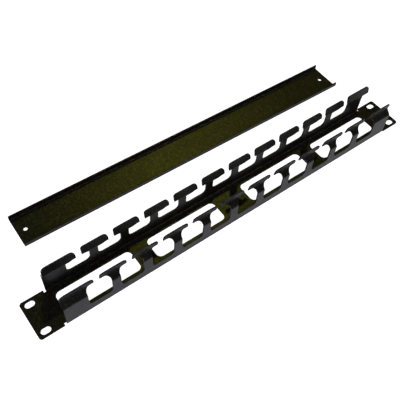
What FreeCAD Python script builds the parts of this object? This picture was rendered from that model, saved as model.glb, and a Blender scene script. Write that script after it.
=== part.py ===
import FreeCAD, Part
import os
import math

# Horizontal cable manager, 1U, 19 inch: a folded sheet-steel finger duct and its
# separate shallow cover.  Millimetres, +Z up.
#
# Frame: origin at the centre of the rear (mounting) face of the finger duct's back
# plate.  X runs along the rack width, Y is the rack height direction, +Z points out
# of the rack, the way the fingers stand.  The duct lies on its back; the cover lies
# beside it, inside up, on the same surface.

V = FreeCAD.Vector

# ---------------------------------------------------------------- dimensions
T = 1.5                  # sheet thickness

# rack panel
PANEL_L = 482.6          # overall width over the ears (19 in)
PANEL_H = 43.6           # height of a 1U panel
EAR_R = 3.0              # outer corners of the ears
SLOT_PITCH_X = 465.1     # EIA hole columns
SLOT_PITCH_Y = 31.75     # first to third hole of one rack unit
SLOT_L = 10.2            # slot length over its round ends
SLOT_W = 6.6             # slot width

# folded flanges (vertices are of the outer skin, before the bend radii)
FLANGE_L = 426.8         # length of the folded part
Y_OUT = PANEL_H / 2.0    # outer face of the upright part of a flange
Z_KNEE = 30.6            # height where the flange leans inward
Y_NECK = 16.2            # narrowest place, at the foot of the lip
Z_NECK = 36.2
Y_LIP = 18.1             # top edge of the lip, flared back out
Z_LIP = 45.8
R_BASE = 1.2             # inside radius of the bend along the back plate
R_KNEE = 1.5             # inside radius of the lean bend
R_NECK = 1.2             # inside radius of the flare bend

# relief notches at the four ends of the two long bends
NOTCH_W = 2.4
NOTCH_Y = 18.9           # how far in a notch reaches (half height left between two)

# large windows in the back plate
WIN_EDGES = ((18.6, 104.5), (124.2, 208.9))   # from the middle, each side
WIN_HALF = 12.7
WIN_R = 5.5

# fingers
N_GAPS = 11
PITCH = 35.1
GAP_HALF = 12.95         # half width of a gap between two finger stems
GAP_Z = 12.2             # lowest point of a gap
GAP_R = 5.0              # lower corners of a gap
HEAD_GAP_HALF = 3.15     # half distance between two finger heads
HEAD_Z = 36.9            # underside of a head
FILLET = 7.4             # where a stem spreads into its head (on the leaning part)
HEAD_RL = 2.8            # upper corner of a head at its -X end
HEAD_RR = 5.5            # upper corner of a head at its +X end
END_R = 5.0              # upper corners at the two flange ends

# cover
COVER_L = 428.2
COVER_W = 39.4           # over its two flanges
COVER_H = 7.0            # flange height
COVER_RI = 1.4           # inside radius of its bends
COVER_HOLE_X = 409.6     # distance between its two holes
COVER_HOLE_D = 4.5
COVER_AT = (7.6, 90.05)  # where it lies beside the duct
COVER_TURN = -1.065      # degrees about Z


# ---------------------------------------------------------------- helpers
def left_of(d):
    return (-d[1], d[0])


def offset_vertices(pts, dist):
    """Vertices of an open polyline moved dist to its left."""
    out = []
    n = len(pts)
    dirs = []
    for a, b in zip(pts[:-1], pts[1:]):
        l = math.hypot(b[0] - a[0], b[1] - a[1])
        dirs.append(((b[0] - a[0]) / l, (b[1] - a[1]) / l))
    for i in range(n):
        if i == 0:
            nrm = left_of(dirs[0])
            out.append((pts[0][0] + nrm[0] * dist, pts[0][1] + nrm[1] * dist))
        elif i == n - 1:
            nrm = left_of(dirs[-1])
            out.append((pts[-1][0] + nrm[0] * dist, pts[-1][1] + nrm[1] * dist))
        else:
            n0, n1 = left_of(dirs[i - 1]), left_of(dirs[i])
            k = 1.0 + n0[0] * n1[0] + n0[1] * n1[1]
            out.append((pts[i][0] + dist * (n0[0] + n1[0]) / k,
                        pts[i][1] + dist * (n0[1] + n1[1]) / k))
    return out


def rounded_path(pts, radii):
    """Edges (in the YZ plane) of an open polyline with one radius per inner vertex."""
    edges = []
    cur = pts[0]
    for i in range(1, len(pts) - 1):
        p = pts[i]
        a = (pts[i - 1][0] - p[0], pts[i - 1][1] - p[1])
        b = (pts[i + 1][0] - p[0], pts[i + 1][1] - p[1])
        la, lb = math.hypot(*a), math.hypot(*b)
        a = (a[0] / la, a[1] / la)
        b = (b[0] / lb, b[1] / lb)
        cosang = a[0] * b[0] + a[1] * b[1]
        half = math.acos(max(-1.0, min(1.0, cosang))) / 2.0
        r = radii[i - 1]
        t = r / math.tan(half)
        p0 = (p[0] + a[0] * t, p[1] + a[1] * t)
        p1 = (p[0] + b[0] * t, p[1] + b[1] * t)
        bis = (a[0] + b[0], a[1] + b[1])
        lbis = math.hypot(*bis)
        c = (p[0] + bis[0] / lbis * r / math.sin(half),
             p[1] + bis[1] / lbis * r / math.sin(half))
        m = (c[0] - bis[0] / lbis * r, c[1] - bis[1] / lbis * r)
        edges.append(("L", cur, p0))
        edges.append(("A", p0, m, p1))
        cur = p1
    edges.append(("L", cur, pts[-1]))
    return edges


def edge3(e, x):
    if e[0] == "L":
        return Part.makeLine(V(x, e[1][0], e[1][1]), V(x, e[2][0], e[2][1]))
    return Part.Arc(V(x, e[1][0], e[1][1]), V(x, e[2][0], e[2][1]),
                    V(x, e[3][0], e[3][1])).toShape()


def folded_strip(outer, turn, inside_radii, x0, length):
    """Solid of a folded sheet.  outer: outer-skin vertices (y, z), with the sheet on
    the left of the path.  turn: +1 where the outer skin is on the outside of the bend,
    -1 where the bend goes the other way."""
    inner = offset_vertices(outer, T)
    r_out = [r + T if s > 0 else r for r, s in zip(inside_radii, turn)]
    r_in = [r if s > 0 else r + T for r, s in zip(inside_radii, turn)]
    eo = rounded_path(outer, r_out)
    ei = rounded_path(inner, r_in)
    edges = [edge3(e, x0) for e in eo]
    edges.append(Part.makeLine(V(x0, outer[-1][0], outer[-1][1]),
                               V(x0, inner[-1][0], inner[-1][1])))
    edges += [edge3(e, x0) for e in reversed(ei)]
    edges.append(Part.makeLine(V(x0, inner[0][0], inner[0][1]),
                               V(x0, outer[0][0], outer[0][1])))
    wire = Part.Wire(Part.__sortEdges__(edges))
    return Part.Face(wire).extrude(V(length, 0, 0))


def rounded_rect_prism(x0, x1, y0, y1, r, z0, z1):
    k = r * (1.0 - math.sqrt(0.5))
    pts = [
        ("L", V(x0 + r, y0, z0), V(x1 - r, y0, z0)),
        ("A", V(x1 - r, y0, z0), V(x1 - k, y0 + k, z0), V(x1, y0 + r, z0)),
        ("L", V(x1, y0 + r, z0), V(x1, y1 - r, z0)),
        ("A", V(x1, y1 - r, z0), V(x1 - k, y1 - k, z0), V(x1 - r, y1, z0)),
        ("L", V(x1 - r, y1, z0), V(x0 + r, y1, z0)),
        ("A", V(x0 + r, y1, z0), V(x0 + k, y1 - k, z0), V(x0, y1 - r, z0)),
        ("L", V(x0, y1 - r, z0), V(x0, y0 + r, z0)),
        ("A", V(x0, y0 + r, z0), V(x0 + k, y0 + k, z0), V(x0 + r, y0, z0)),
    ]
    edges = []
    for p in pts:
        if p[0] == "L":
            if (p[2] - p[1]).Length > 1e-6:
                edges.append(Part.makeLine(p[1], p[2]))
        else:
            edges.append(Part.Arc(p[1], p[2], p[3]).toShape())
    return Part.Face(Part.Wire(edges)).extrude(V(0, 0, z1 - z0))


def slot_prism(cx, cy, length, width, z0, z1):
    r = width / 2.0
    h = length / 2.0 - r
    e = [
        Part.makeLine(V(cx - h, cy - r, z0), V(cx + h, cy - r, z0)),
        Part.Arc(V(cx + h, cy - r, z0), V(cx + h + r, cy, z0), V(cx + h, cy + r, z0)).toShape(),
        Part.makeLine(V(cx + h, cy + r, z0), V(cx - h, cy + r, z0)),
        Part.Arc(V(cx - h, cy + r, z0), V(cx - h - r, cy, z0), V(cx - h, cy - r, z0)).toShape(),
    ]
    return Part.Face(Part.Wire(e)).extrude(V(0, 0, z1 - z0))


def ell(cx, cz, ax, az, a0, a1, y):
    """Quarter arc in the XZ plane (circle, or ellipse longer along X), as an exact
    edge; angles in degrees from +X towards +Z."""

    def pt(a):
        return V(cx + ax * math.cos(math.radians(a)), y, cz + az * math.sin(math.radians(a)))

    p0, pm, p1 = pt(a0), pt((a0 + a1) / 2.0), pt(a1)
    if abs(ax - az) < 1e-9:
        return Part.Arc(p0, pm, p1).toShape()
    e = Part.Ellipse(V(cx + ax, y, cz), V(cx, y, cz + az), V(cx, y, cz))
    arc = Part.ArcOfEllipse(e, e.parameter(p0), e.parameter(p1))
    half = arc.value((arc.FirstParameter + arc.LastParameter) / 2.0)
    if (half - pm).Length > 0.3:
        arc = Part.ArcOfEllipse(e, e.parameter(p1), e.parameter(p0))
    return arc.toShape()


def finger_gap(xc, ya, yb, lean_cos):
    """Prism along Y that punches one gap between two fingers.  The fillets where the
    stems spread lie on the leaning part, so here they are ellipses."""
    g, h, zb = GAP_HALF, HEAD_GAP_HALF, GAP_Z
    rz = FILLET * lean_cos
    top = Z_LIP
    over = Z_LIP + 5.0
    y = ya
    edges = []

    def line(a, b):
        edges.append(Part.makeLine(V(a[0], y, a[1]), V(b[0], y, b[1])))

    def arc(cx, cz, ax, az, a0, a1):
        edges.append(ell(cx, cz, ax, az, a0, a1, y))

    # lower corners
    line((xc - g + GAP_R, zb), (xc + g - GAP_R, zb))
    arc(xc + g - GAP_R, zb + GAP_R, GAP_R, GAP_R, -90, 0)
    line((xc + g, zb + GAP_R), (xc + g, HEAD_Z - rz))
    arc(xc + g - FILLET, HEAD_Z - rz, FILLET, rz, 0, 90)
    line((xc + g - FILLET, HEAD_Z), (xc + h, HEAD_Z))
    # -X upper corner of the head on the +X side of the gap
    line((xc + h, HEAD_Z), (xc + h, top - HEAD_RL))
    arc(xc + h + HEAD_RL, top - HEAD_RL, HEAD_RL, HEAD_RL, 180, 90)
    line((xc + h + HEAD_RL, top), (xc + h + HEAD_RL, over))
    line((xc + h + HEAD_RL, over), (xc - h - HEAD_RR, over))
    # +X upper corner of the head on the -X side of the gap
    line((xc - h - HEAD_RR, over), (xc - h - HEAD_RR, top))
    arc(xc - h - HEAD_RR, top - HEAD_RR, HEAD_RR, HEAD_RR, 90, 0)
    line((xc - h, top - HEAD_RR), (xc - h, HEAD_Z))
    line((xc - h, HEAD_Z), (xc - g + FILLET, HEAD_Z))
    arc(xc - g + FILLET, HEAD_Z - rz, FILLET, rz, 90, 180)
    line((xc - g, HEAD_Z - rz), (xc - g, zb + GAP_R))
    arc(xc - g + GAP_R, zb + GAP_R, GAP_R, GAP_R, 180, 270)
    wire = Part.Wire(Part.__sortEdges__(edges))
    return Part.Face(wire).extrude(V(0, yb - ya, 0))


def end_corner(x_end, ya, yb):
    """Rounds the upper outer corner of the last finger head at a flange end."""
    s = 1.0 if x_end > 0 else -1.0
    top = Z_LIP
    y = ya
    c = (x_end - s * END_R, top - END_R)
    if s > 0:
        a = ell(c[0], c[1], END_R, END_R, 0, 90, y)
    else:
        a = ell(c[0], c[1], END_R, END_R, 90, 180, y)
    pts = [(x_end, top - END_R), (x_end + s * 5.0, top - END_R),
           (x_end + s * 5.0, top + 5.0), (x_end - s * END_R, top + 5.0),
           (x_end - s * END_R, top)]
    edges = [a]
    for m, n in zip(pts[:-1], pts[1:]):
        edges.append(Part.makeLine(V(m[0], y, m[1]), V(n[0], y, n[1])))
    wire = Part.Wire(Part.__sortEdges__(edges))
    return Part.Face(wire).extrude(V(0, yb - ya, 0))


# ---------------------------------------------------------------- finger duct
def make_duct():
    hx = FLANGE_L / 2.0
    # outer skin, walked so that the sheet is on the left: down the -Y flange,
    # along the back plate, up the +Y flange
    outer = [(-Y_LIP, Z_LIP), (-Y_NECK, Z_NECK), (-Y_OUT, Z_KNEE), (-Y_OUT, 0.0),
             (Y_OUT, 0.0), (Y_OUT, Z_KNEE), (Y_NECK, Z_NECK), (Y_LIP, Z_LIP)]
    turn = [-1, 1, 1, 1, 1, -1]
    rad = [R_NECK, R_KNEE, R_BASE, R_BASE, R_KNEE, R_NECK]
    duct = folded_strip(outer, turn, rad, -hx, FLANGE_L)

    # flat part running out into the ears, with the relief notches
    he, hl, xn = PANEL_H / 2.0, PANEL_L / 2.0, hx + NOTCH_W
    plate = Part.makeBox(2 * xn, 2 * NOTCH_Y, T, V(-xn, -NOTCH_Y, 0))
    duct = duct.fuse(plate)
    for s in (-1, 1):
        x0, x1 = sorted((s * xn, s * hl))
        k = EAR_R * (1.0 - math.sqrt(0.5))
        xi, xo = s * xn, s * hl
        pts = [V(xi, -he, 0), V(xo - s * EAR_R, -he, 0), V(xo - s * k, -he + k, 0),
               V(xo, -he + EAR_R, 0), V(xo, he - EAR_R, 0), V(xo - s * k, he - k, 0),
               V(xo - s * EAR_R, he, 0), V(xi, he, 0)]
        e = [Part.makeLine(pts[0], pts[1]),
             Part.Arc(pts[1], pts[2], pts[3]).toShape(),
             Part.makeLine(pts[3], pts[4]),
             Part.Arc(pts[4], pts[5], pts[6]).toShape(),
             Part.makeLine(pts[6], pts[7]),
             Part.makeLine(pts[7], pts[0])]
        ear = Part.Face(Part.Wire(e)).extrude(V(0, 0, T))
        duct = duct.fuse(ear)
    duct = duct.removeSplitter()

    cuts = []
    for s in (-1, 1):
        for t in (-1, 1):
            cuts.append(slot_prism(s * SLOT_PITCH_X / 2.0, t * SLOT_PITCH_Y / 2.0,
                                   SLOT_L, SLOT_W, -1, T + 1))
        for a, b in WIN_EDGES:
            x0, x1 = sorted((s * a, s * b))
            cuts.append(rounded_rect_prism(x0, x1, -WIN_HALF, WIN_HALF, WIN_R, -1, T + 1))
    lean = math.atan2(Y_OUT - Y_NECK, Z_NECK - Z_KNEE)
    for ya, yb in ((-Y_OUT - 3.0, -8.0), (8.0, Y_OUT + 3.0)):
        for j in range(N_GAPS):
            xc = (j - (N_GAPS - 1) / 2.0) * PITCH
            cuts.append(finger_gap(xc, ya, yb, math.cos(lean)))
        cuts.append(end_corner(hx, ya, yb))
        cuts.append(end_corner(-hx, ya, yb))
    duct = duct.cut(Part.makeCompound(cuts))
    return duct


# ---------------------------------------------------------------- cover
def make_cover():
    w = COVER_W / 2.0
    outer = [(-w, COVER_H), (-w, 0.0), (w, 0.0), (w, COVER_H)]
    c = folded_strip(outer, [1, 1], [COVER_RI, COVER_RI], -COVER_L / 2.0, COVER_L)
    for s in (-1, 1):
        c = c.cut(Part.makeCylinder(COVER_HOLE_D / 2.0, T + 2, V(s * COVER_HOLE_X / 2.0, 0, -1)))
    c.rotate(V(0, 0, 0), V(0, 0, 1), COVER_TURN)
    c.translate(V(COVER_AT[0], COVER_AT[1], 0))
    return c


def as_solid(s):
    if s.ShapeType != "Solid":
        sol = s.Solids
        if len(sol) != 1:
            raise RuntimeError("expected one solid, got %d" % len(sol))
        s = sol[0]
    if not s.isValid():
        raise RuntimeError("invalid solid")
    return s


os.makedirs("parts", exist_ok=True)
duct = as_solid(make_duct())
cover = as_solid(make_cover())
for name, shape in (("finger_duct", duct), ("cover", cover)):
    shape.exportStep("parts/%s.step" % name)
    bb = shape.BoundBox
    print(name, "volume %.1f mm3" % shape.Volume,
          "x %.2f..%.2f y %.2f..%.2f z %.2f..%.2f" % (bb.XMin, bb.XMax, bb.YMin, bb.YMax, bb.ZMin, bb.ZMax))
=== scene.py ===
import math
import bpy
from mathutils import Matrix, Vector


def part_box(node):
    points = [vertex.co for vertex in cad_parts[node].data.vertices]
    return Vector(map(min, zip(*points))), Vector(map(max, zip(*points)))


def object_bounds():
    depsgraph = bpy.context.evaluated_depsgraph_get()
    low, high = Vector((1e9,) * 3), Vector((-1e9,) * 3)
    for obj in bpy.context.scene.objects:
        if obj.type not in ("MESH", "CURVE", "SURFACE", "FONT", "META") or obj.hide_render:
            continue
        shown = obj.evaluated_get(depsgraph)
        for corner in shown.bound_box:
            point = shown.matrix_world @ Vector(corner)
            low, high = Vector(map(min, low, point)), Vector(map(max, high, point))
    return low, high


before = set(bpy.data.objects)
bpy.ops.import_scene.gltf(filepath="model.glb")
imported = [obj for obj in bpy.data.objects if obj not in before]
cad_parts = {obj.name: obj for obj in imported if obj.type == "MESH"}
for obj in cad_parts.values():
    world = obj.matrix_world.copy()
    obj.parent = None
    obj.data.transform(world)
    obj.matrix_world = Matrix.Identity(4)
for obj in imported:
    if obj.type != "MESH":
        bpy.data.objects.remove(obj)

cad_lo, cad_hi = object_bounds()
scene = bpy.context.scene


# ------------------------------------------------------------------ node helpers
class Graph:
    """A small wrapper that makes shader nodes and joins them."""

    def __init__(self, name):
        self.mat = bpy.data.materials.new(name)
        self.mat.use_nodes = True
        self.tree = self.mat.node_tree
        self.tree.nodes.clear()
        self.out = self.tree.nodes.new("ShaderNodeOutputMaterial")

    def node(self, kind, **values):
        n = self.tree.nodes.new(kind)
        for key, value in values.items():
            setattr(n, key, value)
        return n

    def put(self, socket, value):
        if isinstance(value, bpy.types.NodeSocket):
            self.tree.links.new(value, socket)
        else:
            socket.default_value = value

    def math(self, op, a, b=0.0, clamp=False):
        n = self.node("ShaderNodeMath", operation=op, use_clamp=clamp)
        self.put(n.inputs[0], a)
        self.put(n.inputs[1], b)
        return n.outputs[0]

    def ramp(self, value, lo, hi, out_lo=0.0, out_hi=1.0, smooth=True):
        n = self.node("ShaderNodeMapRange",
                      interpolation_type="SMOOTHSTEP" if smooth else "LINEAR")
        self.put(n.inputs["Value"], value)
        for key, v in (("From Min", lo), ("From Max", hi), ("To Min", out_lo), ("To Max", out_hi)):
            self.put(n.inputs[key], v)
        return n.outputs["Result"]

    def noise(self, vector, scale, detail=2.0, rough=0.5, seed=0.0, distortion=0.0):
        n = self.node("ShaderNodeTexNoise", noise_dimensions="4D")
        self.put(n.inputs["Vector"], vector)
        self.put(n.inputs["W"], seed)
        self.put(n.inputs["Scale"], scale)
        self.put(n.inputs["Detail"], detail)
        self.put(n.inputs["Roughness"], rough)
        self.put(n.inputs["Distortion"], distortion)
        return n.outputs["Fac"]

    def mix(self, factor, a, b):
        n = self.node("ShaderNodeMix", data_type="RGBA")
        self.put(n.inputs[0], factor)
        self.put(n.inputs[6], a)
        self.put(n.inputs[7], b)
        return n.outputs[2]


def rgb(r, g, b):
    return (r, g, b, 1.0)


# ------------------------------------------------------------------ paint
def powder_coat(name, seed, lip_z=None):
    """Gloss black powder coat: orange peel, fine grain, cloudy shade, dust, and a painted
    highlight on the rounded edges and the lip tops.

    The tone is a very dark olive black.  Coordinates are the object's own, in metres.
    """
    g = Graph(name)
    where = g.node("ShaderNodeTexCoord").outputs["Object"]
    geo = g.node("ShaderNodeNewGeometry")
    xyz = g.node("ShaderNodeSeparateXYZ")
    g.put(xyz.inputs[0], where)

    peel = g.noise(where, 380.0, 3.0, 0.60, seed)
    grain = g.noise(where, 1200.0, 2.0, 0.6, seed + 3.0)
    cloud = g.noise(where, 14.0, 3.0, 0.55, seed + 7.0)
    blotch = g.noise(where, 60.0, 3.0, 0.6, seed + 11.0, 0.4)

    # speckle: the crests of the texture are a little lighter than its hollows
    speck = g.math("ADD", g.math("MULTIPLY", peel, 0.62), g.math("MULTIPLY", grain, 0.38))
    speck = g.ramp(speck, 0.47, 0.63)
    tint = g.ramp(g.noise(where, 210.0, 2.0, 0.6, seed + 29.0), 0.38, 0.62)
    light = g.mix(tint, rgb(0.0095, 0.0080, 0.0036), rgb(0.0080, 0.0090, 0.0032))
    shade = g.mix(g.math("MULTIPLY", speck, 0.80), rgb(0.0022, 0.0020, 0.0014), light)
    shade = g.mix(g.ramp(cloud, 0.35, 0.70, 0.0, 0.35), shade, rgb(0.0060, 0.0058, 0.0034))

    # dust grains and tiny nibs in the paint
    vor = g.node("ShaderNodeTexVoronoi", feature="F1")
    g.put(vor.inputs["Vector"], where)
    g.put(vor.inputs["Scale"], 260.0)
    nib = g.ramp(vor.outputs["Distance"], 0.05, 0.12, 1.0, 0.0)
    some = g.ramp(g.noise(where, 90.0, 1.0, 0.5, seed + 17.0), 0.56, 0.62)
    nib = g.math("MULTIPLY", nib, some)
    shade = g.mix(g.math("MULTIPLY", nib, 0.35), shade, rgb(0.085, 0.083, 0.070))

    # painted highlight on the rounded edges: a patchy light grey where the rounded-edge normal
    # leaves the face normal
    bevel = g.node("ShaderNodeBevel", samples=6)
    bevel.inputs["Radius"].default_value = 0.00055
    dot = g.node("ShaderNodeVectorMath", operation="DOT_PRODUCT")
    g.put(dot.inputs[0], bevel.outputs[0])
    g.put(dot.inputs[1], geo.outputs["Normal"])
    edge = g.ramp(dot.outputs["Value"], 0.80, 0.985, 1.0, 0.0)
    painted_edge_highlight = g.math("MULTIPLY", edge, g.ramp(blotch, 0.36, 0.62, 0.25, 1.0))
    shade = g.mix(g.math("MULTIPLY", painted_edge_highlight, 0.42), shade, rgb(0.030, 0.029, 0.026))

    rough = g.ramp(g.math("ADD", g.math("MULTIPLY", cloud, 0.5), g.math("MULTIPLY", blotch, 0.5)),
                   0.3, 0.7, 0.31, 0.37, smooth=False)
    rough = g.math("ADD", rough, g.math("MULTIPLY", painted_edge_highlight, 0.12))

    if lip_z is not None:
        # painted highlight: the upward-facing sheared top edges of the lips are painted light
        # grey, patchy along their length
        nz = g.node("ShaderNodeSeparateXYZ")
        g.put(nz.inputs[0], geo.outputs["True Normal"])
        painted_lip_top_highlight = g.math("MULTIPLY", g.ramp(xyz.outputs["Z"], lip_z - 0.0009, lip_z - 0.0004),
                     g.ramp(nz.outputs["Z"], 0.75, 0.93))
        painted_lip_top_highlight = g.math("MULTIPLY", painted_lip_top_highlight, g.ramp(g.noise(where, 110.0, 2.0, 0.6, seed + 23.0),
                                             0.34, 0.60, 0.45, 1.0))
        shade = g.mix(g.math("MULTIPLY", painted_lip_top_highlight, 0.5), shade, rgb(0.040, 0.039, 0.037))

    bump1 = g.node("ShaderNodeBump")
    g.put(bump1.inputs["Normal"], bevel.outputs[0])
    g.put(bump1.inputs["Height"], peel)
    bump1.inputs["Strength"].default_value = 0.32
    bump1.inputs["Distance"].default_value = 0.00075
    bump2 = g.node("ShaderNodeBump")
    g.put(bump2.inputs["Normal"], bump1.outputs[0])
    g.put(bump2.inputs["Height"], g.math("ADD", g.math("MULTIPLY", grain, 0.6), nib))
    bump2.inputs["Strength"].default_value = 0.55
    bump2.inputs["Distance"].default_value = 0.00010

    p = g.node("ShaderNodeBsdfPrincipled")
    g.put(p.inputs["Base Color"], shade)
    g.put(p.inputs["Roughness"], rough)
    g.put(p.inputs["Normal"], bump2.outputs[0])
    p.inputs["IOR"].default_value = 1.5
    p.inputs["Specular IOR Level"].default_value = 0.26
    # the crests of the peel shine more than its hollows, and a little browner or greener
    glint = g.mix(tint, rgb(0.96, 0.82, 0.80), rgb(0.84, 0.90, 0.78))
    glint = g.mix(speck, rgb(0.44, 0.44, 0.42), glint)
    g.put(p.inputs["Specular Tint"], glint)
    g.tree.links.new(p.outputs[0], g.out.inputs["Surface"])
    return g.mat


def dress(node, material):
    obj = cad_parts[node]
    if obj.data.materials:
        for i in range(len(obj.data.materials)):
            obj.data.materials[i] = material
    else:
        obj.data.materials.append(material)


duct_lo, duct_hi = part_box("finger_duct")
dress("finger_duct", powder_coat("duct_powder_coat", 1.0, duct_hi.z))
dress("cover", powder_coat("cover_powder_coat", 5.0))


# ------------------------------------------------------------------ floor
def make_floor():
    mesh = bpy.data.meshes.new("floor")
    s = 6.0
    z = cad_lo[2] - 0.0001
    mesh.from_pydata([(-s, -s, z), (s, -s, z), (s, s, z), (-s, s, z)], [], [(0, 1, 2, 3)])
    obj = bpy.data.objects.new("floor", mesh)
    scene.collection.objects.link(obj)
    g = Graph("pale_floor")
    p = g.node("ShaderNodeBsdfPrincipled")
    p.inputs["Base Color"].default_value = rgb(0.86, 0.86, 0.86)
    p.inputs["Roughness"].default_value = 0.9
    p.inputs["Specular IOR Level"].default_value = 0.0
    p.inputs["Emission Color"].default_value = rgb(1.0, 1.0, 1.0)
    # the glow that makes it plain white to look at is dimmer in the gloss of the paint
    seen = g.node("ShaderNodeLightPath").outputs["Is Camera Ray"]
    g.put(p.inputs["Emission Strength"], g.ramp(seen, 0.0, 1.0, 0.33, 0.95, smooth=False))
    g.tree.links.new(p.outputs[0], g.out.inputs["Surface"])
    mesh.materials.append(g.mat)
    return obj


make_floor()

world = bpy.data.worlds.new("studio")
scene.world = world
world.use_nodes = True
world.node_tree.nodes["Background"].inputs[0].default_value = rgb(0.95, 0.97, 1.0)
# a dim room that looks white beyond the floor's edge
room = world.node_tree.nodes["Background"]
seen = world.node_tree.nodes.new("ShaderNodeLightPath").outputs["Is Camera Ray"]
dim = world.node_tree.nodes.new("ShaderNodeMapRange")
dim.inputs["To Min"].default_value = 0.04
dim.inputs["To Max"].default_value = 1.05
world.node_tree.links.new(seen, dim.inputs["Value"])
world.node_tree.links.new(dim.outputs["Result"], room.inputs["Strength"])


def area_light(name, position, target, size, watts, colour=(1.0, 1.0, 1.0), size_y=None):
    data = bpy.data.lights.new(name, "AREA")
    data.energy = watts
    data.color = colour
    data.size = size
    if size_y:
        data.shape = "RECTANGLE"
        data.size_y = size_y
    obj = bpy.data.objects.new(name, data)
    scene.collection.objects.link(obj)
    obj.location = position
    aim = Vector(target) - Vector(position)
    obj.rotation_euler = aim.to_track_quat("-Z", "Y").to_euler()
    return obj


area_light("key", (0.53, -0.36, 1.22), (0.0, 0.03, 0.0), 0.28, 2.4, (1.0, 0.975, 0.92))
area_light("fill", (-0.75, -1.05, 1.00), (0.0, 0.03, 0.0), 0.9, 8.5, (1.0, 0.99, 0.97))
area_light("side", (-0.85, -0.55, 0.55), (-0.22, -0.03, 0.0), 0.5, 5.0, (0.50, 0.53, 1.0))

# two soft side lamps that only the other faces of the sheets mirror
area_light("rim_left", (-1.05, 0.85, 0.90), (0.0, 0.03, 0.0), 0.6, 2.0)
area_light("rim_right", (1.15, -0.45, 0.75), (0.0, 0.03, 0.0), 0.4, 1.2)

# A small warm lamp far off on the right: its broad glint is the olive glow in the faces
# that look up, and its shadow is the dark patch beside each flange.  It lights the
# object only, so that the floor stays neutral.
lit = bpy.data.collections.new("warm_lit")
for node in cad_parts.values():
    lit.objects.link(node)
sun = bpy.data.lights.new("warm_lamp", "SUN")
sun.energy = 0.38
sun.angle = math.radians(2.0)
sun.color = (1.0, 0.98, 0.10)
lamp = bpy.data.objects.new("warm_lamp", sun)
scene.collection.objects.link(lamp)
lamp.rotation_euler = Vector((-0.450, -0.590, -1.0)).to_track_quat("-Z", "Y").to_euler()
lamp.light_linking.receiver_collection = lit

# ------------------------------------------------------------------ camera
cam = bpy.data.cameras.new("camera")
cam.sensor_fit = "HORIZONTAL"
cam.sensor_width = 36.0
cam.lens = 584.514 / 400.0 * 36.0
cam.clip_start = 0.01
cam.clip_end = 20.0
camera = bpy.data.objects.new("camera", cam)
scene.collection.objects.link(camera)
right = Vector((0.800348, -0.597002, 0.055069))
down = Vector((-0.461998, -0.672675, -0.577984))
ahead = Vector((0.382101, 0.437146, -0.814188))
camera.matrix_world = Matrix.Translation((-0.269047, -0.254305, 0.515033)) @ Matrix((
    (right.x, -down.x, -ahead.x),
    (right.y, -down.y, -ahead.y),
    (right.z, -down.z, -ahead.z))).to_4x4()
scene.camera = camera

scene.view_settings.view_transform = "Standard"
scene.view_settings.look = "None"
scene.view_settings.exposure = 0.0
scene.view_settings.gamma = 1.0
